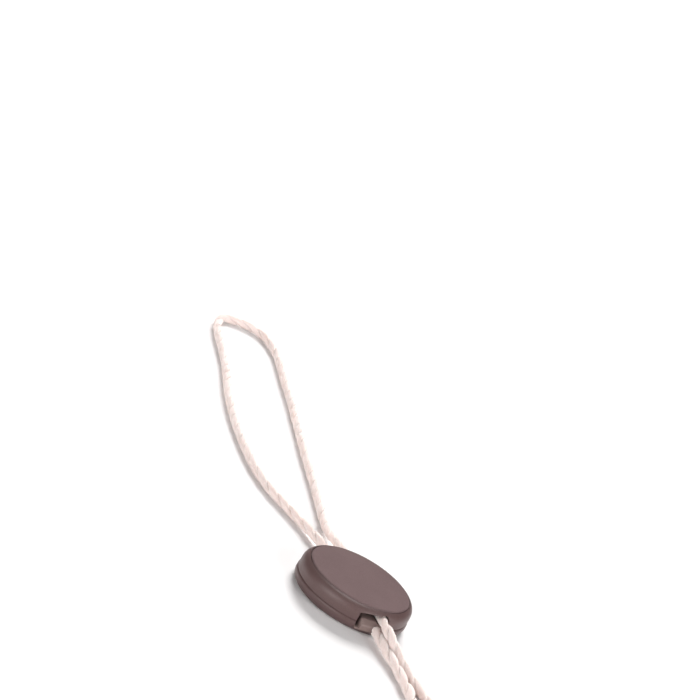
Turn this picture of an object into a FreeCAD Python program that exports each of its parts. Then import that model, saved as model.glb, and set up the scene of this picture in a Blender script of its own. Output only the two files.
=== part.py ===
"""String seal for a hang tag: a round two-shell seal, its lock plug and its cord.

Frame: millimetres, +Z up. The seal lies on its back on z = 0, centred on the
origin. The cord runs through it along Y: the plug's window is at -Y and the
two cord holes are at +Y.
"""
import FreeCAD, Part
import Sketcher
import math
import os
import re

Vector = FreeCAD.Vector
Rotation = FreeCAD.Rotation

doc = FreeCAD.newDocument("string_seal")

# ---------------------------------------------------------------- sizes
SIZES = {
    # round casing
    "casing_radius": 8.0,
    "casing_height": 3.66,
    "parting_height": 1.5,
    "front_inset": 0.1,
    "top_round": 1.33,
    "bottom_round": 0.9,
    "ledge_round": 0.38,
    # inset face
    "face_radius": 7.06,
    "face_gap": 0.13,
    "face_thickness": 0.3,
    "face_round": 0.2,
    # window for the plug
    "window_x": -0.2,
    "window_width": 4.3,
    "window_bottom": 0.52,
    "window_top": 2.99,
    "window_arch": 7.8,
    "window_inner_end": -5.8,
    "guide_clearance": 0.07,
    # lock plug
    "plug_x": 0.05,
    "plug_width": 3.5,
    "plug_bottom": 0.6,
    "plug_top": 1.92,
    "plug_front": -7.95,
    "plug_slope": 0.75,
    "plug_lip_top": 1.35,
    "plug_nose": -2.2,
    "nose_taper": 0.9,
    "nose_lift": 0.3,
    "plug_round": 0.3,
    "shoulder_y": -3.6,
    "notch_front": -5.7,
    "notch_top": 1.2,
    "foot_height": 0.25,
    "foot_back": -5.95,
    "foot_play": 0.07,
    # cord, its channel and its two ends
    "cord_radius": 0.7,
    "channel_radius": 0.76,
    "channel_x": 1.15,
    "channel_z": 2.42,
    "mouth_flare": 0.3,
    "window_flare": 0.15,
    "mouth_depth": 0.6,
    "plug_cord_x": 0.65,
    "plug_cord_z": 1.0,
    "moulded_radius": 0.32,
    "moulded_end": -5.3,
    "anchor_x": -0.3,
    "anchor_z": 1.2,
    # crimp on the cord's fixed end
    "ferrule_radius": 0.85,
    "ferrule_bore": 0.56,
    "ferrule_front": 5.5,
    "ferrule_length": 2.4,
    "ferrule_play": 0.06,
    # catch leaf under the plug
    "leaf_width": 0.9,
    "leaf_x": -1.15,
    "leaf_bottom": 0.3,
    "leaf_gauge": 0.15,
    "leaf_back": -7.0,
    "leaf_bend": -5.6,
    "leaf_tip": -3.75,
    "leaf_tip_bottom": 0.88,
    "peg_radius": 0.22,
    "peg_y": -6.4,
    # locating pins
    "pin_x": 4.7,
    "pin_y": 3.1,
    "pin_radius": 0.55,
    "pin_length": 0.9,
    "pin_play": 0.05,
}

sheet = doc.addObject("Spreadsheet::Sheet", "sizes")
for row, (alias, value) in enumerate(SIZES.items(), start=1):
    sheet.set(f"A{row}", alias)
    sheet.set(f"B{row}", str(value))
    sheet.setAlias(f"B{row}", alias)
doc.recompute()


def size(alias):
    """The sheet's value of one driving dimension."""
    return float(sheet.get(alias))


def linked(text):
    """An expression in which each alias points at the sheet."""
    return re.sub(r"[a-z_]{2,}", lambda word: f"sizes.{word.group()}", text)


def bind(item, expressions):
    """Bind each property of an object to an expression in the sheet's aliases."""
    for path, text in expressions.items():
        item.setExpression(path, linked(text))
    return item


# ---------------------------------------------------------------- primitives
def placed(item, at, turn=None):
    """Turn an object, then bind its place to three expressions."""
    if turn is not None:
        item.Placement = FreeCAD.Placement(Vector(), turn)
    paths = ("Placement.Base.x", "Placement.Base.y", "Placement.Base.z")
    return bind(item, dict(zip(paths, at)))


ALONG_Y = Rotation(Vector(1, 0, 0), -90)


def box(name, at, length, width, height):
    item = doc.addObject("Part::Box", name)
    bind(item, {"Length": length, "Width": width, "Height": height})
    return placed(item, at)


def rod(name, at, radius, length, turn=None):
    item = doc.addObject("Part::Cylinder", name)
    bind(item, {"Radius": radius, "Height": length})
    return placed(item, at, turn)


def cone(name, at, start_radius, end_radius, length, turn=None):
    item = doc.addObject("Part::Cone", name)
    bind(item, {"Radius1": start_radius, "Radius2": end_radius, "Height": length})
    return placed(item, at, turn)


def joined(name, pieces):
    item = doc.addObject("Part::MultiFuse", name)
    item.Shapes = pieces
    return item


def cut(name, base, tool):
    item = doc.addObject("Part::Cut", name)
    item.Base = base
    item.Tool = tool
    return item


def origin_plane(body, role):
    return next(f for f in body.Origin.OriginFeatures if f.Role == role)


def sketch_on(body, name, role):
    sketch = body.newObject("Sketcher::SketchObject", name)
    sketch.AttachmentSupport = [(origin_plane(body, role), "")]
    sketch.MapMode = "FlatFace"
    return sketch


def edges_where(shape, test):
    """The names of the edges that pass a test."""
    return [f"Edge{i}" for i, edge in enumerate(shape.Edges, start=1) if test(edge)]


def ring_at(height):
    """A test for a full circular edge at one height."""
    def test(edge):
        is_ring = isinstance(edge.Curve, Part.Circle)
        return is_ring and abs(edge.CenterOfMass.z - height) < 1e-6
    return test


def round_disc(name, radius, bottom, height):
    """A PartDesign body: a plain disc padded up from its bottom height."""
    body = doc.addObject("PartDesign::Body", name)
    sketch = sketch_on(body, name + "_circle", "XY_Plane")
    sketch.addGeometry(Part.Circle(Vector(), Vector(0, 0, 1), 1.0), False)
    sketch.addConstraint(Sketcher.Constraint("Coincident", 0, 3, -1, 1))
    sketch.addConstraint(Sketcher.Constraint("Radius", 0, 1.0))
    bind(sketch, {"Constraints[1]": radius, "AttachmentOffset.Base.z": bottom})
    pad = body.newObject("PartDesign::Pad", name + "_pad")
    pad.Profile = sketch
    bind(pad, {"Length": height})
    doc.recompute()
    return body, pad


def dress(body, kind, name, base, edge_names, path, amount):
    """Add a fillet or a chamfer to named edges of a body's feature."""
    feature = body.newObject(kind, name)
    feature.Base = (base, edge_names)
    bind(feature, {path: amount})
    body.Tip = feature
    doc.recompute()
    return feature


def profile_body(name, points, width):
    """A PartDesign body: an outline in the YZ plane, padded both ways along X.

    Each point is a pair of expressions (y, z); each corner's two coordinates
    are constraints of the sketch bound to the sheet.
    """
    body = doc.addObject("PartDesign::Body", name)
    sketch = sketch_on(body, name + "_outline", "YZ_Plane")
    count = len(points)
    rough = [Vector(math.cos(a), math.sin(a), 0)
             for a in (2 * math.pi * i / count for i in range(count))]
    for i in range(count):
        sketch.addGeometry(Part.LineSegment(rough[i], rough[(i + 1) % count]), False)
    for i in range(count):
        sketch.addConstraint(Sketcher.Constraint("Coincident", i, 2, (i + 1) % count, 1))
    for i, (across, up) in enumerate(points):
        for kind, text in (("DistanceX", across), ("DistanceY", up)):
            number = sketch.addConstraint(Sketcher.Constraint(kind, -1, 1, i, 1, 1.0))
            bind(sketch, {f"Constraints[{number}]": text})
    pad = body.newObject("PartDesign::Pad", name + "_pad")
    pad.Profile = sketch
    pad.Midplane = True
    bind(pad, {"Length": width})
    doc.recompute()
    return body, pad


# ---------------------------------------------------------------- cavities
def cavities(prefix):
    """What both shells are cut by: window, plug guide, channel and cord anchor."""
    opening = box(
        prefix + "_opening",
        ("window_x - window_width / 2", "-casing_radius - 1", "window_bottom"),
        "window_width", "casing_radius + 1 + window_inner_end", "window_top - window_bottom")
    arch = rod(
        prefix + "_arch", ("window_x", "-casing_radius - 1", "window_top - window_arch"),
        "window_arch", "casing_radius + 1 + window_inner_end", ALONG_Y)
    window = doc.addObject("Part::MultiCommon", prefix + "_window")
    window.Shapes = [opening, arch]
    guide = box(
        prefix + "_guide",
        ("plug_x - plug_width / 2 - guide_clearance", "window_inner_end - 0.1",
         "plug_bottom - guide_clearance"),
        "plug_width + 2 * guide_clearance",
        "plug_nose - window_inner_end + 0.1 + 2 * guide_clearance",
        "plug_top - plug_bottom + 2 * guide_clearance")
    channel = rod(
        prefix + "_channel", ("channel_x", "-casing_radius - 1", "channel_z"),
        "channel_radius", "2 * casing_radius + 2", ALONG_Y)
    channel_back = cone(
        prefix + "_channel_back", ("channel_x", "casing_radius - mouth_depth", "channel_z"),
        "channel_radius", "channel_radius + mouth_flare", "mouth_depth", ALONG_Y)
    channel_front = cone(
        prefix + "_channel_front", ("channel_x", "-casing_radius", "channel_z"),
        "channel_radius + window_flare", "channel_radius", "mouth_depth", ALONG_Y)
    anchor_hole = rod(
        prefix + "_anchor_hole", ("anchor_x", "ferrule_front - 0.1", "anchor_z"),
        "channel_radius", "casing_radius - ferrule_front + 1", ALONG_Y)
    anchor_mouth = cone(
        prefix + "_anchor_mouth", ("anchor_x", "casing_radius - mouth_depth", "anchor_z"),
        "channel_radius", "channel_radius + mouth_flare", "mouth_depth", ALONG_Y)
    pocket = rod(
        prefix + "_ferrule_pocket",
        ("anchor_x", "ferrule_front - ferrule_length - ferrule_play", "anchor_z"),
        "ferrule_radius + ferrule_play", "ferrule_length + ferrule_play", ALONG_Y)
    return [window, guide, channel, channel_back, channel_front,
            anchor_hole, anchor_mouth, pocket]


def pin_places():
    return [(sx, sy) for sx in ("-pin_x", "pin_x") for sy in ("-pin_y", "pin_y")]


# ---------------------------------------------------------------- casing
def make_back_shell():
    body, pad = round_disc("back_blank", "casing_radius", "0", "parting_height")
    rim = edges_where(pad.Shape, ring_at(0.0))
    rounded = dress(body, "PartDesign::Fillet", "back_round", pad, rim,
                    "Radius", "bottom_round")
    top = edges_where(rounded.Shape, ring_at(size("parting_height")))
    dress(body, "PartDesign::Fillet", "back_ledge", rounded, top,
          "Radius", "ledge_round")
    sockets = [
        rod(f"back_socket_{i}", (px, py, "parting_height - pin_length - pin_play"),
            "pin_radius + pin_play", "pin_length + 1")
        for i, (px, py) in enumerate(pin_places(), start=1)]
    leaf_slot = box(
        "back_leaf_slot",
        ("leaf_x - leaf_width / 2 - 0.03", "leaf_back - 0.05", "leaf_bottom"),
        "leaf_width + 0.06", "leaf_tip - leaf_back + 0.3", "window_bottom - leaf_bottom + 0.2")
    tools = joined("back_tools", cavities("back") + sockets + [leaf_slot])
    hollow = cut("back_hollow", body, tools)
    peg = rod("back_peg", ("leaf_x", "peg_y", "leaf_bottom - 0.1"),
              "peg_radius", "leaf_gauge + 0.12")
    shell = joined("back_shell", [hollow, peg])
    return shell


def make_front_shell():
    body, pad = round_disc("front_blank", "casing_radius - front_inset",
                           "parting_height", "casing_height - parting_height")
    rim = edges_where(pad.Shape, ring_at(size("casing_height")))
    dress(body, "PartDesign::Fillet", "front_round", pad, rim, "Radius", "top_round")
    face_seat = rod("front_face_seat", ("0", "0", "casing_height - face_thickness"),
                    "face_radius + face_gap", "1")
    tools = joined("front_tools", cavities("front") + [face_seat])
    hollow = cut("front_hollow", body, tools)
    pins = [
        rod(f"front_pin_{i}", (px, py, "parting_height - pin_length"),
            "pin_radius", "pin_length + 0.2")
        for i, (px, py) in enumerate(pin_places(), start=1)]
    return joined("front_shell", [hollow] + pins)


def make_face_cap():
    body, pad = round_disc("face_cap", "face_radius",
                           "casing_height - face_thickness", "face_thickness")
    rim = edges_where(pad.Shape, ring_at(size("casing_height")))
    dress(body, "PartDesign::Fillet", "face_edge", pad, rim, "Radius", "face_round")
    return body


# ---------------------------------------------------------------- plug, catch, crimp
def make_lock_plug():
    # the nose's underside ramps up from the shoulder, so that it rides over the leaf
    outline = [
        ("plug_front", "plug_bottom"),
        ("shoulder_y + plug_round", "plug_bottom"),
        ("plug_nose", "plug_bottom + nose_lift"),
        ("plug_nose", "plug_top - plug_round"),
        ("plug_nose - plug_round", "plug_top"),
        ("plug_front + plug_slope", "plug_top"),
        ("plug_front", "plug_lip_top"),
    ]
    body, pad = profile_body("plug_blank", outline, "plug_width")
    top, slope_end = size("plug_top"), size("plug_front") + size("plug_slope")

    def upper_edge(edge):
        ends = [vertex.Point for vertex in edge.Vertexes]
        on_top = all(abs(end.z - top) < 1e-6 for end in ends)
        on_slope = all(end.y < slope_end + 1e-6 and end.z > size("plug_bottom") + 1e-6
                       for end in ends)
        return on_slope or (on_top and abs(ends[0].x - ends[1].x) < 1e-6)

    dress(body, "PartDesign::Fillet", "plug_edges", pad,
          edges_where(pad.Shape, upper_edge), "Radius", "plug_round")
    placed(body, ("plug_x", "0", "0"))
    # a foot as wide as the window closes it at the bottom
    foot = box("plug_foot",
               ("window_x - window_width / 2 + foot_play", "plug_front", "plug_bottom"),
               "window_width - 2 * foot_play", "foot_back - plug_front", "foot_height")
    groove = rod("plug_groove", ("channel_x", "plug_front - 1", "channel_z"),
                 "channel_radius", "plug_nose - plug_front + 2", ALONG_Y)
    notch = box("plug_notch",
                ("plug_x - plug_width / 2 - 1", "notch_front", "plug_bottom - 1"),
                "plug_width / 2 + 1 + leaf_x - plug_x + leaf_width / 2 + 0.12",
                "shoulder_y - notch_front", "notch_top - plug_bottom + 1")
    socket = rod("plug_cord_socket", ("plug_cord_x", "plug_front - 1", "plug_cord_z"),
                 "moulded_radius", "moulded_end - plug_front + 1", ALONG_Y)
    sides = []
    for name, sign in (("left", "-1"), ("right", "1")):
        bevel = box(f"plug_bevel_{name}", ("0", "0", "0"),
                    "nose_taper * 2", "nose_taper * 2", "casing_height")
        placed(bevel, (f"plug_x + {sign} * plug_width / 2", "plug_nose - nose_taper", "0"),
               Rotation(Vector(0, 0, 1), 45))
        sides.append(bevel)
    return cut("lock_plug", joined("plug_footed", [body, foot]),
               joined("plug_tools", [groove, notch, socket] + sides))


def make_latch_leaf():
    outline = [
        ("leaf_back", "leaf_bottom"),
        ("leaf_bend", "leaf_bottom"),
        ("leaf_tip", "leaf_tip_bottom"),
        ("leaf_tip", "leaf_tip_bottom + leaf_gauge"),
        ("leaf_bend", "leaf_bottom + leaf_gauge"),
        ("leaf_back", "leaf_bottom + leaf_gauge"),
    ]
    body, _pad = profile_body("leaf_strip", outline, "leaf_width")
    placed(body, ("leaf_x", "0", "0"))
    hole = rod("leaf_hole", ("leaf_x", "peg_y", "0"), "peg_radius + 0.02", "1")
    return cut("latch_leaf", body, hole)


def make_cord_ferrule():
    start = "ferrule_front - ferrule_length"
    sleeve = rod("ferrule_sleeve", ("anchor_x", start, "anchor_z"),
                 "ferrule_radius", "ferrule_length", ALONG_Y)
    bore = rod("ferrule_bore_rod", ("anchor_x", start + " - 1", "anchor_z"),
               "ferrule_bore", "ferrule_length + 2", ALONG_Y)
    return cut("cord_ferrule", sleeve, bore)


# ---------------------------------------------------------------- cord
def rounded_path(points):
    """Straight runs joined by tangent arcs: the edges, and the radius of each arc."""
    edges, radii = [], []
    start = points[0]
    for before, corner, after in zip(points, points[1:], points[2:]):
        run_in, run_out = corner - before, after - corner
        turn = run_in.getAngle(run_out)
        back = 0.45 * min(run_in.Length, run_out.Length)
        leave = corner - Vector(run_in).normalize() * back
        join = corner + Vector(run_out).normalize() * back
        radius = back / math.tan(turn / 2)
        inward = (Vector(run_out).normalize() - Vector(run_in).normalize()).normalize()
        middle = corner + inward * (radius / math.cos(turn / 2) - radius)
        edges.append(Part.LineSegment(start, leave).toShape())
        edges.append(Part.Arc(leave, middle, join).toShape())
        radii.append(radius)
        start = join
    edges.append(Part.LineSegment(start, points[-1]).toShape())
    return edges, radii


def tube(points, radius, name):
    """A round tube along a route; its volume is compared with section x length."""
    edges, radii = rounded_path(points)
    length = sum(edge.Length for edge in edges)
    heading = points[1] - points[0]
    ring = Part.Wire(Part.Circle(points[0], heading, radius).toShape())
    solid = Part.Wire(edges).makePipeShell([ring], True, False)
    expected = math.pi * radius ** 2 * length
    print(f"{name}: radius {radius} length {length:.1f} "
          f"volume {solid.Volume:.2f} section x length {expected:.2f}")
    print(f"{name}: bend radii", " ".join(f"{bend:.1f}" for bend in radii))
    if abs(solid.Volume / expected - 1) > 0.01:
        raise RuntimeError(f"{name}: the tube's volume is off")
    return solid


def straight(x, y_from, y_to, z, radius):
    """A plain stretch of cord along Y."""
    low, high = sorted((y_from, y_to))
    return Part.makeCylinder(radius, high - low, Vector(x, low, z), Vector(0, 1, 0))


def cord_feature(name, pieces):
    feature = doc.addObject("Part::Feature", name)
    feature.Shape = pieces[0].multiFuse(pieces[1:]).removeSplitter()
    feature.Placement = FreeCAD.Placement()
    return feature


# The cord is one length: it is split inside the channel, at y = 0, into the
# product loop, which stays with the casing, and the tag loop, which goes with
# the plug.
def make_loop_cord():
    radius = size("cord_radius")
    lying = radius
    channel = (size("channel_x"), size("channel_z"))
    anchor = (size("anchor_x"), size("anchor_z"))
    route = [
        Vector(channel[0], 3.2, channel[1]),
        Vector(channel[0], 10.2, channel[1]),
        Vector(2.4, 17.2, lying),
        Vector(4.5, 27.0, lying),
        Vector(7.3, 42.2, lying),
        Vector(10.5, 57.5, lying),
        Vector(12.7, 70.0, lying),
        Vector(14.5, 78.8, lying),
        Vector(13.3, 85.6, lying),
        Vector(6.3, 86.3, lying),
        Vector(3.2, 79.8, lying),
        Vector(1.2, 66.5, lying),
        Vector(-2.6, 52.5, lying),
        Vector(-4.7, 38.5, lying),
        Vector(-5.0, 26.2, lying),
        Vector(-1.7, 17.6, lying),
        Vector(anchor[0], 11.3, anchor[1]),
        Vector(anchor[0], size("ferrule_front"), anchor[1]),
    ]
    run = tube(route, radius, "loop_cord")
    inner = straight(channel[0], 0.0, route[0].y, channel[1], radius)
    crimped = straight(anchor[0], size("ferrule_front") - size("ferrule_length"),
                       size("ferrule_front"), anchor[1], size("ferrule_bore"))
    return cord_feature("loop_cord", [run, inner, crimped])


def make_tag_cord():
    radius = size("cord_radius")
    lying = radius
    channel = (size("channel_x"), size("channel_z"))
    plug = (size("plug_cord_x"), size("plug_cord_z"))
    front = size("plug_front")
    route = [
        Vector(channel[0], -3.8, channel[1]),
        Vector(channel[0], -9.4, channel[1]),
        Vector(2.5, -14.2, lying),
        Vector(3.15, -21.0, lying),
        Vector(4.9, -31.5, lying),
        Vector(5.9, -40.0, lying),
        Vector(4.2, -46.0, lying),
        Vector(-1.6, -49.0, lying),
        Vector(-6.6, -44.6, lying),
        Vector(-4.8, -34.6, lying),
        Vector(0.9, -23.2, lying),
        Vector(1.25, -15.4, lying),
        Vector(plug[0], front - 3.0, plug[1]),
        Vector(plug[0], front, plug[1]),
    ]
    run = tube(route, radius, "tag_cord")
    inner = straight(channel[0], 0.0, route[0].y, channel[1], radius)
    moulded = straight(plug[0], front, size("moulded_end"), plug[1],
                       size("moulded_radius"))
    return cord_feature("tag_cord", [run, inner, moulded])


# ---------------------------------------------------------------- build and write
NODES = {
    "back_shell": make_back_shell(),
    "front_shell": make_front_shell(),
    "face_cap": make_face_cap(),
    "lock_plug": make_lock_plug(),
    "latch_leaf": make_latch_leaf(),
    "cord_ferrule": make_cord_ferrule(),
    "loop_cord": make_loop_cord(),
    "tag_cord": make_tag_cord(),
}
doc.recompute()

for item in doc.Objects:
    if "Invalid" in item.State or "Error" in item.State:
        raise RuntimeError(f"{item.Name} is {item.State}")

os.makedirs("parts", exist_ok=True)
for node, item in NODES.items():
    item.Label = node
    shape = item.Shape
    if shape.isNull() or not shape.isValid():
        raise RuntimeError(f"{node} has no valid shape")
    if len(shape.Solids) != 1:
        raise RuntimeError(f"{node} has {len(shape.Solids)} solids")
    shape.exportStep(f"parts/{node}.step")
    limits = shape.optimalBoundingBox(False)
    print(f"{node}: x {limits.XMin:.2f}..{limits.XMax:.2f} y {limits.YMin:.2f}..{limits.YMax:.2f} "
          f"z {limits.ZMin:.2f}..{limits.ZMax:.2f} volume {shape.Volume:.1f} mm3")
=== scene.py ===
"""Looks of the round string seal: camera, twisted cord, moulded plastic, floor and light."""

import math

import bpy
import numpy as np
from mathutils import Matrix, Vector


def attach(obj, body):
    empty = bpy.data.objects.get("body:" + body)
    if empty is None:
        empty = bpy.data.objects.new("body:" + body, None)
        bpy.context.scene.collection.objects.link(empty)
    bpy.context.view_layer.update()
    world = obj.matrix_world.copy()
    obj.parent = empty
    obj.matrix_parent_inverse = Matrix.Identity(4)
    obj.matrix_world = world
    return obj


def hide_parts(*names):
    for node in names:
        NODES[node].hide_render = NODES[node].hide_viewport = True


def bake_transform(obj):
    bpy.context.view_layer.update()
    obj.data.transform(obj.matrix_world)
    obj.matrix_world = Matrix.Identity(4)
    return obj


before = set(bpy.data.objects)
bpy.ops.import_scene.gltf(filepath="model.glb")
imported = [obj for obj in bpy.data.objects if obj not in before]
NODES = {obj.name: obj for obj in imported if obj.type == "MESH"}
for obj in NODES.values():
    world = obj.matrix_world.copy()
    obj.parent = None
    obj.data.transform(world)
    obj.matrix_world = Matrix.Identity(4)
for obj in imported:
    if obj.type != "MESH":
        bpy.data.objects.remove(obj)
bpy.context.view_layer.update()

MM = 0.001
TURN = 2 * math.pi

# ---------------------------------------------------------------- camera
CAMERA_AZIMUTH = -33.0      # degrees round the seal; 0 looks along +Y
CAMERA_ELEVATION = 22.5
CAMERA_DISTANCE = 257.2 * MM
CAMERA_AIM = Vector((35.4, 94.8, 0.0)) * MM
CAMERA_ROLL = 29.4
CAMERA_LENS = 102.9         # on a 36 mm sensor
CAMERA_REACH = (0.01, 60.0)     # metres, nearest and farthest


def make_camera():
    azimuth, elevation = math.radians(CAMERA_AZIMUTH), math.radians(CAMERA_ELEVATION)
    away = Vector((math.sin(azimuth) * math.cos(elevation),
                   -math.cos(azimuth) * math.cos(elevation),
                   math.sin(elevation)))
    place = away * CAMERA_DISTANCE
    aim = (CAMERA_AIM - place).to_track_quat("-Z", "Y").to_matrix().to_4x4()
    roll = Matrix.Rotation(math.radians(CAMERA_ROLL), 4, "Z")
    data = bpy.data.cameras.new("camera")
    data.lens = CAMERA_LENS
    data.clip_start, data.clip_end = CAMERA_REACH
    camera = bpy.data.objects.new("camera", data)
    camera.matrix_world = Matrix.Translation(place) @ aim @ roll
    bpy.context.collection.objects.link(camera)
    bpy.context.scene.camera = camera


# ---------------------------------------------------------------- cord routes, mm
CORD_RADIUS = 0.7
CHANNEL_X, CHANNEL_Z = 1.15, 2.42
ANCHOR_X, ANCHOR_Z = -0.3, 1.2
PLUG_CORD_X, PLUG_CORD_Z = 0.65, 1.0
PLUG_FRONT = -7.95
LYING = CORD_RADIUS

# from the split in the channel, round the product, to the anchor
LOOP_ROUTE = [
    (CHANNEL_X, 0.0, CHANNEL_Z),
    (CHANNEL_X, 3.2, CHANNEL_Z),
    (CHANNEL_X, 10.2, CHANNEL_Z),
    (2.4, 17.2, LYING),
    (4.5, 27.0, LYING),
    (7.3, 42.2, LYING),
    (10.5, 57.5, LYING),
    (12.7, 70.0, LYING),
    (14.5, 78.8, LYING),
    (13.3, 85.6, LYING),
    (6.3, 86.3, LYING),
    (3.2, 79.8, LYING),
    (1.2, 66.5, LYING),
    (-2.6, 52.5, LYING),
    (-4.7, 38.5, LYING),
    (-5.0, 26.2, LYING),
    (-1.7, 17.6, LYING),
    (ANCHOR_X, 11.3, ANCHOR_Z),
    (ANCHOR_X, 5.5, ANCHOR_Z),
    (ANCHOR_X, 3.1, ANCHOR_Z),
]

# from the same split, round the tag, to the end moulded into the plug
TAG_ROUTE = [
    (CHANNEL_X, 0.0, CHANNEL_Z),
    (CHANNEL_X, -3.8, CHANNEL_Z),
    (CHANNEL_X, -9.4, CHANNEL_Z),
    (2.5, -14.2, LYING),
    (3.15, -21.0, LYING),
    (4.9, -31.5, LYING),
    (5.9, -40.0, LYING),
    (4.2, -46.0, LYING),
    (-1.6, -49.0, LYING),
    (-6.6, -44.6, LYING),
    (-4.8, -34.6, LYING),
    (0.9, -23.2, LYING),
    (1.25, -15.4, LYING),
    (PLUG_CORD_X, PLUG_FRONT - 3.0, PLUG_CORD_Z),
    (PLUG_CORD_X, PLUG_FRONT, PLUG_CORD_Z),
    (PLUG_CORD_X, -5.3, PLUG_CORD_Z),
]

# a gripped stretch, the length over which it swells again, mm, and the share of its
# thickness that is left: in the channel, and at each cord's end
CHANNEL_HELD = (7.6, 2.2, 0.88)
LOOP_HELD = (2.0, 0.4, 0.78)
TAG_HELD = (2.2, 0.4, 0.44)


def nurbs_line(points):
    """The points, in metres, of the smooth NURBS line that a route controls."""
    data = bpy.data.curves.new("route", "CURVE")
    data.dimensions = "3D"
    data.resolution_u = 32
    spline = data.splines.new("NURBS")
    spline.points.add(len(points) - 1)
    for point, place in zip(spline.points, points):
        point.co = (*(Vector(place) * MM), 1.0)
    spline.order_u = 3
    spline.use_endpoint_u = True
    holder = bpy.data.objects.new("route", data)
    mesh = bpy.data.meshes.new_from_object(holder)
    line = np.array([vertex.co[:] for vertex in mesh.vertices])
    bpy.data.meshes.remove(mesh)
    bpy.data.objects.remove(holder)
    bpy.data.curves.remove(data)
    return line


def evenly(line, step):
    """The same line with its points an even step apart, and how far along each lies."""
    along = np.concatenate([[0], np.cumsum(np.linalg.norm(np.diff(line, axis=0), axis=1))])
    count = max(2, round(along[-1] / step) + 1)
    stops = np.linspace(0, along[-1], count)
    return np.stack([np.interp(stops, along, line[:, k]) for k in range(3)], 1), stops


def side_vectors(line):
    """Unit vectors along the line, and two square to it, carried along without twist."""
    tangent = np.gradient(line, axis=0)
    tangent /= np.linalg.norm(tangent, axis=1)[:, None]
    first = np.cross(tangent[0], (0, 0, 1))
    first /= np.linalg.norm(first)
    sides = [first]
    for direction in tangent[1:]:
        side = sides[-1] - direction * np.dot(sides[-1], direction)
        sides.append(side / np.linalg.norm(side))
    sides = np.array(sides)
    return tangent, sides, np.cross(tangent, sides)


WANDER_WAVES = 6
WANDER_SPREAD = (0.5, 2.0)      # each wave's length, as a share of the one asked for
WANDER_GAIN = 1.6               # brings the waves' mean up to about -1 to 1


def wander(stops, generator, wavelength):
    """A smooth random value from about -1 to 1 along a length."""
    total = np.zeros_like(stops)
    for _ in range(WANDER_WAVES):
        period = wavelength * generator.uniform(*WANDER_SPREAD)
        total += np.sin(TURN * stops / period + generator.uniform(0, TURN))
    return total / WANDER_WAVES * WANDER_GAIN


# ---------------------------------------------------------------- twisted cord
PLY_COUNT = 2
PLY_DEPTH = 0.42            # mm, half a ply's size across the pair; they press flat together
PLY_WIDTH = 0.56            # mm, half its size the other way
PLY_OFFSET = CORD_RADIUS - PLY_DEPTH
TWIST_PITCH = 6.4           # mm of cord for one whole turn of the plies
YARNS = 6                   # rounded ridges round each ply
YARN_PITCH = -3.8           # mm; the yarns turn the other way
YARN_DEPTH = 0.08           # of the ply's thickness
RING_SIDES = 40
RING_STEP = 0.16            # mm

# how unevenly the cord is made: the amount, and the length in mm over which it changes
TWIST_DRIFT = (0.5, 20)     # radians
OFFSET_DRIFT = (0.1, 9)     # of the plies' distance from the middle
THICK_DRIFT = (0.03, 6)     # of the plies' thickness
THICK_MEAN = 0.97


def pinched(reach, length, ease, share):
    """The cord's share of its free thickness: held over a length, then easing back to 1."""
    free = np.clip((reach - length) / ease, 0, 1)
    return share + (1 - share) * free * free * (3 - 2 * free)


def held_by(reach, grip):
    length, ease, share = grip
    return pinched(reach, length * MM, ease * MM, share)


def drift(stops, generator, settings):
    amount, wavelength = settings
    return amount * wander(stops, generator, wavelength * MM)


def ply_rings(stops, turn, centre, thick, side, lift):
    """The rings of points round one ply, ridged by its yarns."""
    ring = np.linspace(0, TURN, RING_SIDES, endpoint=False)
    yarn_turn = TURN * stops / (YARN_PITCH * MM)
    ridge = YARN_DEPTH * np.abs(np.cos(YARNS / 2 * (ring[None, :] - yarn_turn[:, None])))
    swell = thick[:, None] * (1 - YARN_DEPTH + ridge)
    out = swell * PLY_DEPTH * np.cos(ring)[None, :]
    across = swell * PLY_WIDTH * np.sin(ring)[None, :]
    cos_turn, sin_turn = np.cos(turn)[:, None], np.sin(turn)[:, None]
    points = centre[:, None, :] + (
        (out * cos_turn - across * sin_turn)[..., None] * side[:, None, :]
        + (out * sin_turn + across * cos_turn)[..., None] * lift[:, None, :])
    points[..., 2] = np.maximum(points[..., 2], 0.0)    # cotton gives where it lies
    return points


def tube_faces(start, rings, sides):
    """The faces of a closed tube of rings, and each one's corner and ring, or None at the caps."""
    faces, wraps = [], []
    for ring in range(rings - 1):
        low, high = start + ring * sides, start + (ring + 1) * sides
        for corner in range(sides):
            after = (corner + 1) % sides
            faces.append((low + corner, low + after, high + after, high + corner))
            wraps.append((corner, ring))
    last = start + (rings - 1) * sides
    faces.append(tuple(start + corner for corner in reversed(range(sides))))
    faces.append(tuple(last + corner for corner in range(sides)))
    return faces, wraps + [None, None]


def mesh_object(name, verts, faces):
    mesh = bpy.data.meshes.new(name)
    mesh.from_pydata([tuple(vert) for vert in verts], [], faces)
    item = bpy.data.objects.new(name, mesh)
    bpy.context.collection.objects.link(item)
    return item


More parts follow.
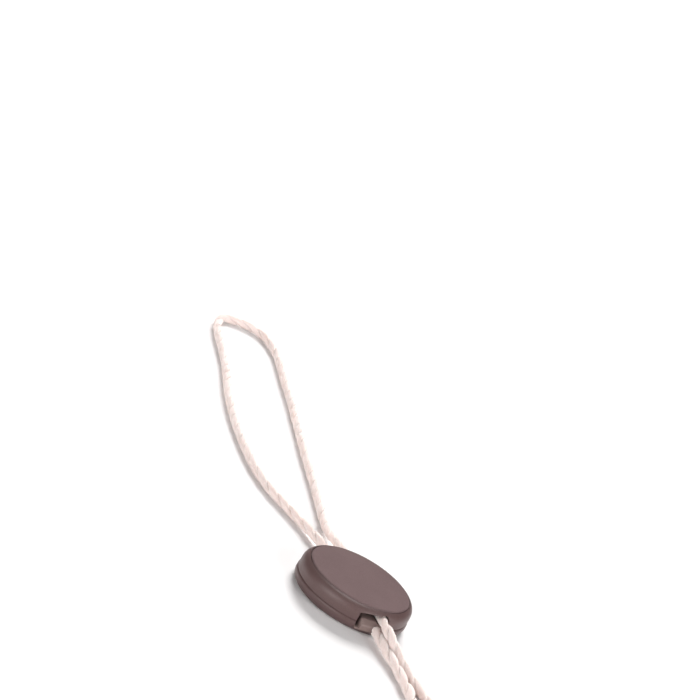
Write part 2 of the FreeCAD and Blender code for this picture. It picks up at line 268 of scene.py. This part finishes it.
def twisted_cord(name, route, seed, held, start_turn):
    """A two-ply cord as one mesh along the route, with its centreline.

    held is the grip on its last stretch; start_turn is how far round, in turns, the
    plies stand where the cord begins.
    """
    generator = np.random.default_rng(seed)
    line, stops = evenly(nurbs_line(route), RING_STEP * MM)
    _tangent, side, lift = side_vectors(line)
    share = held_by(stops, CHANNEL_HELD) * held_by(stops[-1] - stops, held)
    angle = TURN * (stops / (TWIST_PITCH * MM) + start_turn)
    angle += drift(stops, generator, TWIST_DRIFT)
    verts, faces, wraps = [], [], []
    for ply in range(PLY_COUNT):
        turn = angle + TURN * ply / PLY_COUNT
        offset = PLY_OFFSET * MM * share * (1 + drift(stops, generator, OFFSET_DRIFT))
        centre = line + offset[:, None] * (
            np.cos(turn)[:, None] * side + np.sin(turn)[:, None] * lift)
        thick = MM * share * (THICK_MEAN + drift(stops, generator, THICK_DRIFT))
        rings = ply_rings(stops, turn, centre, thick, side, lift)
        ply_faces, ply_wraps = tube_faces(len(verts), len(stops), RING_SIDES)
        verts.extend(rings.reshape(-1, 3))
        faces.extend(ply_faces)
        wraps.extend(ply_wraps)
    cord = mesh_object(name, verts, faces)
    wrap_cord(cord.data, wraps, stops)
    cord.data.shade_smooth()
    return cord, line


def wrap_cord(mesh, wraps, stops):
    """UVs for the cotton material: once round the ply, and millimetres along it."""
    layer = mesh.uv_layers.new(name="along")
    for polygon, wrap in zip(mesh.polygons, wraps):
        for number, loop in enumerate(polygon.loop_indices):
            if wrap is None:
                layer.data[loop].uv = (0.5, 0.0)
                continue
            corner, ring = wrap
            across = corner + (1 if number in (1, 2) else 0)
            reach = stops[ring + (1 if number in (2, 3) else 0)]
            layer.data[loop].uv = (across / RING_SIDES, reach / MM)


# ---------------------------------------------------------------- stray fibres
FIBRE_SIDES = 3
FIBRE_POINTS = 5
FIBRES_PER_MM = 5.0
FIBRE_LENGTH = (0.35, 1.0)      # mm
FIBRE_LEAN = (-0.9, 0.9)        # along the cord, as a share of the fibre's length
FIBRE_CURL = (-0.5, 0.5)        # round the cord, as a share of its length
FIBRE_RISE = (0.12, 0.45)       # off the cord, as a share of its length
FIBRE_THICK = (0.010, 0.018)    # mm, half its thickness at the root
FIBRE_TAPER = 0.75              # of that thickness is lost at the tip
FIBRE_BEND = 0.8                # of half a turn, so that the tip falls back
FIBRE_ROOT = CORD_RADIUS * 0.8  # mm from the cord's middle
FIBRE_CLEAR = 8.4               # mm from the seal's axis


def inside_casing(place):
    """True where a stray fibre would stand inside the casing's outline."""
    return math.hypot(place[0], place[1]) < FIBRE_CLEAR * MM


def stray_fibres(name, line, seed):
    """Short cotton fibres that stand off the cord, as one mesh."""
    generator = np.random.default_rng(seed)
    line, stops = evenly(line, RING_STEP * MM)
    tangent, side, lift = side_vectors(line)
    verts, faces = [], []
    for _ in range(round(stops[-1] / MM * FIBRES_PER_MM)):
        index = generator.integers(len(stops))
        angle = generator.uniform(0, TURN)
        outward = math.cos(angle) * side[index] + math.sin(angle) * lift[index]
        sideways = np.cross(tangent[index], outward)
        length = generator.uniform(*FIBRE_LENGTH) * MM
        lean = generator.uniform(*FIBRE_LEAN) * length
        curl = generator.uniform(*FIBRE_CURL) * length
        rise = generator.uniform(*FIBRE_RISE) * length
        thick = generator.uniform(*FIBRE_THICK) * MM
        base = line[index] + outward * FIBRE_ROOT * MM
        if inside_casing(base):
            continue
        path = []
        for share in np.linspace(0, 1, FIBRE_POINTS):
            bend = math.sin(share * math.pi * FIBRE_BEND)
            path.append(base + tangent[index] * lean * share
                        + outward * rise * bend + sideways * curl * share * share)
        path = np.array(path)
        path[:, 2] = np.maximum(path[:, 2], thick)
        fibre_faces, _wraps = tube_faces(len(verts), FIBRE_POINTS, FIBRE_SIDES)
        for number, place in enumerate(path):
            width = thick * (1 - FIBRE_TAPER * number / (FIBRE_POINTS - 1))
            for corner in range(FIBRE_SIDES):
                turn = TURN * corner / FIBRE_SIDES
                verts.append(place + width * (
                    math.cos(turn) * outward + math.sin(turn) * sideways))
        faces.extend(fibre_faces)
    fibres = mesh_object(name, verts, faces)
    fibres.data.shade_smooth()
    return fibres


# ---------------------------------------------------------------- materials
NOISE_LOW, NOISE_HIGH = 0.3, 0.7    # most of a noise texture's values lie between these


class Shader:
    """A material's node tree, with short calls to add and join nodes."""

    def __init__(self, name):
        self.material = bpy.data.materials.new(name)
        self.material.use_nodes = True
        self.tree = self.material.node_tree
        self.surface = self.tree.nodes["Principled BSDF"]

    def add(self, kind, **settings):
        node = self.tree.nodes.new(kind)
        for key, value in settings.items():
            setattr(node, key, value)
        return node

    def join(self, source, output, target, socket):
        self.tree.links.new(source.outputs[output], target.inputs[socket])

    def set(self, **values):
        """Plain values on the surface; an underscore stands for a space in a socket's name."""
        for socket, value in values.items():
            self.surface.inputs[socket.replace("_", " ")].default_value = value

    def place(self, scale=(1, 1, 1), uv=False):
        """Object coordinates, or the cord's own UVs, scaled."""
        coordinates = self.add("ShaderNodeTexCoord")
        mapping = self.add("ShaderNodeMapping")
        mapping.inputs["Scale"].default_value = scale
        self.join(coordinates, "UV" if uv else "Object", mapping, "Vector")
        return mapping

    def noise(self, mapping, scale, detail=3.0, roughness=0.55):
        node = self.add("ShaderNodeTexNoise")
        node.inputs["Scale"].default_value = scale
        node.inputs["Detail"].default_value = detail
        node.inputs["Roughness"].default_value = roughness
        self.join(mapping, "Vector", node, "Vector")
        return node

    def ramp(self, source, low, high):
        """A colour that runs between two stops, each a position and a colour."""
        node = self.add("ShaderNodeValToRGB")
        for element, (position, colour) in zip(node.color_ramp.elements, (low, high)):
            element.position = position
            element.color = (*colour, 1.0)
        self.join(source, "Fac", node, "Fac")
        return node

    def colour(self, tone, veil):
        """The surface's colour: one ramp multiplied by another."""
        mix = self.add("ShaderNodeMix", data_type="RGBA", blend_type="MULTIPLY")
        mix.inputs["Factor"].default_value = 1.0
        self.join(tone, "Color", mix, "A")
        self.join(veil, "Color", mix, "B")
        self.join(mix, "Result", self.surface, "Base Color")

    def vary_roughness(self, source, low, high):
        """Roughness that runs from low to high over the source's middle range."""
        node = self.add("ShaderNodeMapRange")
        node.inputs["From Min"].default_value = NOISE_LOW
        node.inputs["From Max"].default_value = NOISE_HIGH
        node.inputs["To Min"].default_value = low
        node.inputs["To Max"].default_value = high
        self.join(source, "Fac", node, "Value")
        self.join(node, "Result", self.surface, "Roughness")

    def bump(self, height, strength, distance, under=None):
        """Relief of a depth in millimetres, over other relief if there is any."""
        node = self.add("ShaderNodeBump")
        node.inputs["Strength"].default_value = strength
        node.inputs["Distance"].default_value = distance * MM
        self.join(height, "Fac", node, "Height")
        if under is not None:
            self.join(under, "Normal", node, "Normal")
        return node

    def relief(self, bump):
        self.join(bump, "Normal", self.surface, "Normal")


def tinted(colour, amount):
    return tuple(channel * amount for channel in colour)


def grey(value):
    return (value, value, value)


def moulded_plastic(name, colour, roughness=0.55, grain=1.0, gloss=0.3):
    """Spark-textured moulded plastic: a fine grain, faint flow marks and cloudiness."""
    shader = Shader(name)
    space = shader.place()
    cloud = shader.noise(space, 220.0)
    grit = shader.noise(space, 7000.0, roughness=0.6)
    flow = shader.noise(space, 1500.0, 4.0)
    tone = shader.ramp(cloud, (NOISE_LOW, tinted(colour, 0.96)), (NOISE_HIGH, tinted(colour, 1.04)))
    speck = shader.ramp(grit, (0.35, grey(0.94)), (0.65, grey(1.05)))
    shader.colour(tone, speck)
    shader.vary_roughness(flow, roughness - 0.02, roughness + 0.03)
    shader.relief(shader.bump(grit, 0.3 * grain, 0.01))
    shader.set(Specular_IOR_Level=gloss)
    return shader.material


def cotton(name, colour, shade):
    """Cream cotton: fibres along the ply, darker between them, with a soft sheen."""
    shader = Shader(name)
    fibres = shader.noise(shader.place((6.0, 0.9, 1.0), uv=True), 4.0, 6.0, 0.7)
    thread = shader.noise(shader.place((22.0, 2.2, 1.0), uv=True), 3.0, roughness=0.6)
    patch = shader.noise(shader.place(), 240.0)
    tone = shader.ramp(fibres, (0.25, shade), (0.62, colour))
    cast = shader.ramp(patch, (NOISE_LOW, (0.97, 0.93, 0.91)), (NOISE_HIGH, grey(1.0)))
    shader.colour(tone, cast)
    coarse = shader.bump(fibres, 0.7, 0.07)
    shader.relief(shader.bump(thread, 0.6, 0.04, under=coarse))
    shader.set(Roughness=0.92, Specular_IOR_Level=0.2,
               Sheen_Weight=0.35, Sheen_Roughness=0.5,
               Subsurface_Weight=0.5, Subsurface_Radius=(1.0, 0.92, 0.88),
               Subsurface_Scale=0.6 * MM)
    return shader.material


def rolled_metal(name, colour, roughness, along):
    """Bare metal with fine marks drawn out along one direction."""
    shader = Shader(name)
    marks = shader.noise(shader.place(along), 2200.0, 5.0, 0.6)
    tone = shader.ramp(marks, (NOISE_LOW, tinted(colour, 0.85)), (NOISE_HIGH, tinted(colour, 1.05)))
    shader.join(tone, "Color", shader.surface, "Base Color")
    shader.vary_roughness(marks, roughness - 0.08, roughness + 0.1)
    shader.relief(shader.bump(marks, 0.3, 0.01))
    shader.set(Metallic=1.0)
    return shader.material


def paper_floor(name):
    """Near-white paper with a faint mottle."""
    shader = Shader(name)
    mottle = shader.noise(shader.place(), 30.0)
    tone = shader.ramp(mottle, (NOISE_LOW, (0.87, 0.865, 0.87)), (NOISE_HIGH, (0.89, 0.885, 0.89)))
    shader.join(tone, "Color", shader.surface, "Base Color")
    shader.set(Roughness=0.6, Specular_IOR_Level=0.25)
    return shader.material


TAUPE = (0.105, 0.065, 0.063)
# painted light: the face colour is the casing plastic made lighter and greyer; the lift stands in
# for the stronger light on the upward face and the grey for its sheen
FACE_PAINTED_LIGHT_TAUPE = (0.156, 0.110, 0.111)
# painted light: the plug colour is the casing plastic made about twice as light, standing in for
# the light that falls on the plug through the window
PLUG_PAINTED_LIGHT_TAUPE = (0.220, 0.160, 0.148)
CREAM, CREAM_SHADE = (0.87, 0.77, 0.74), (0.76, 0.61, 0.57)
STEEL, FERRULE_METAL = (0.56, 0.56, 0.57), (0.72, 0.72, 0.73)


def finish_nodes():
    """Give every CAD node that shows its own material."""
    finishes = {
        "back_shell": moulded_plastic("casing_back_plastic", tinted(TAUPE, 0.96), 0.4),
        "front_shell": moulded_plastic("casing_front_plastic", TAUPE, 0.4),
        # the face cap's colour holds painted light and painted sheen, not a different plastic
        "face_cap": moulded_plastic("face_plastic_painted_lighter", FACE_PAINTED_LIGHT_TAUPE, 0.85, 0.7, 0.02),
        # the plug's colour holds painted light, not a lighter plastic
        "lock_plug": moulded_plastic("plug_plastic_painted_lighter", PLUG_PAINTED_LIGHT_TAUPE, 0.42, 0.8),
        "latch_leaf": rolled_metal("leaf_steel", STEEL, 0.3, (1, 0.08, 1)),
        "cord_ferrule": rolled_metal("ferrule_metal", FERRULE_METAL, 0.34, (1, 0.1, 1)),
    }
    for node, material in finishes.items():
        for slot in NODES[node].material_slots:
            slot.material = material


# ---------------------------------------------------------------- the cord's two loops
def finish_cord(cord, line, body, node, fuzz_seed, yarn):
    """Fibres, material and body for one loop. All its fibres are outside the casing."""
    fuzz = stray_fibres(cord.name + "_fibres", line, fuzz_seed)
    for piece in (cord, fuzz):
        piece.data.materials.append(yarn)
    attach(fuzz, body)
    if body == "casing":
        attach(cord, body)
    else:
        # the strand in the channel starts at the split, which stays with the casing
        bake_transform(cord)
    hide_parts(node)


def make_cords():
    yarn = cotton("cream_cotton", CREAM, CREAM_SHADE)
    loop, loop_line = twisted_cord("product_loop_cord", LOOP_ROUTE, 11, LOOP_HELD, 0.0)
    tag, tag_line = twisted_cord("tag_loop_cord", TAG_ROUTE, 23, TAG_HELD, 0.18)
    finish_cord(loop, loop_line, "casing", "loop_cord",
                31, yarn)
    finish_cord(tag, tag_line, "plug", "tag_cord",
                47, yarn)


# ---------------------------------------------------------------- floor and light
FLOOR_HALF = 8.0            # metres
NEAR_WHITE = (1.0, 0.99, 0.98)
WARM_WHITE = (1.0, 0.98, 0.97)
BACKDROP_WHITE = (1.0, 0.985, 0.99)
BACKDROP_STRENGTH = 0.06


def make_floor():
    half = FLOOR_HALF
    corners = [(-half, -half, 0), (half, -half, 0), (half, half, 0), (-half, half, 0)]
    floor = mesh_object("floor", corners, [(0, 1, 2, 3)])
    floor.data.materials.append(paper_floor("floor_paper"))


def make_sun(name, towards, strength, angle, colour):
    """A distant soft light that shines along a direction."""
    data = bpy.data.lights.new(name, "SUN")
    data.energy = strength
    data.angle = math.radians(angle)
    data.color = colour
    light = bpy.data.objects.new(name, data)
    light.rotation_mode = "QUATERNION"
    light.rotation_quaternion = Vector(towards).to_track_quat("-Z", "Y")
    bpy.context.collection.objects.link(light)
    return light


def make_light():
    # the key shines from behind the seal, so that shadows fall towards the camera
    key = make_sun("key", (-0.42, -0.79, -0.55), 5.1, 28.0, NEAR_WHITE)
    key.visible_glossy = False
    make_sun("left_softbox", (0.86, 0.42, -0.28), 2.5, 50.0, WARM_WHITE)
    make_sun("right_softbox", (-0.50, 0.80, -0.30), 2.7, 50.0, WARM_WHITE)
    # the strip only glints: it draws the bright band on the casing's shoulder
    strip = make_sun("overhead_strip", (-0.15, -0.24, -0.96), 3.2, 38.0, WARM_WHITE)
    strip.visible_diffuse = False
    world = bpy.data.worlds.new("studio")
    world.use_nodes = True
    backdrop = world.node_tree.nodes["Background"]
    backdrop.inputs["Color"].default_value = (*BACKDROP_WHITE, 1.0)
    backdrop.inputs["Strength"].default_value = BACKDROP_STRENGTH
    bpy.context.scene.world = world
    bpy.context.scene.view_settings.view_transform = "Standard"


make_camera()
make_cords()
finish_nodes()
make_floor()
make_light()
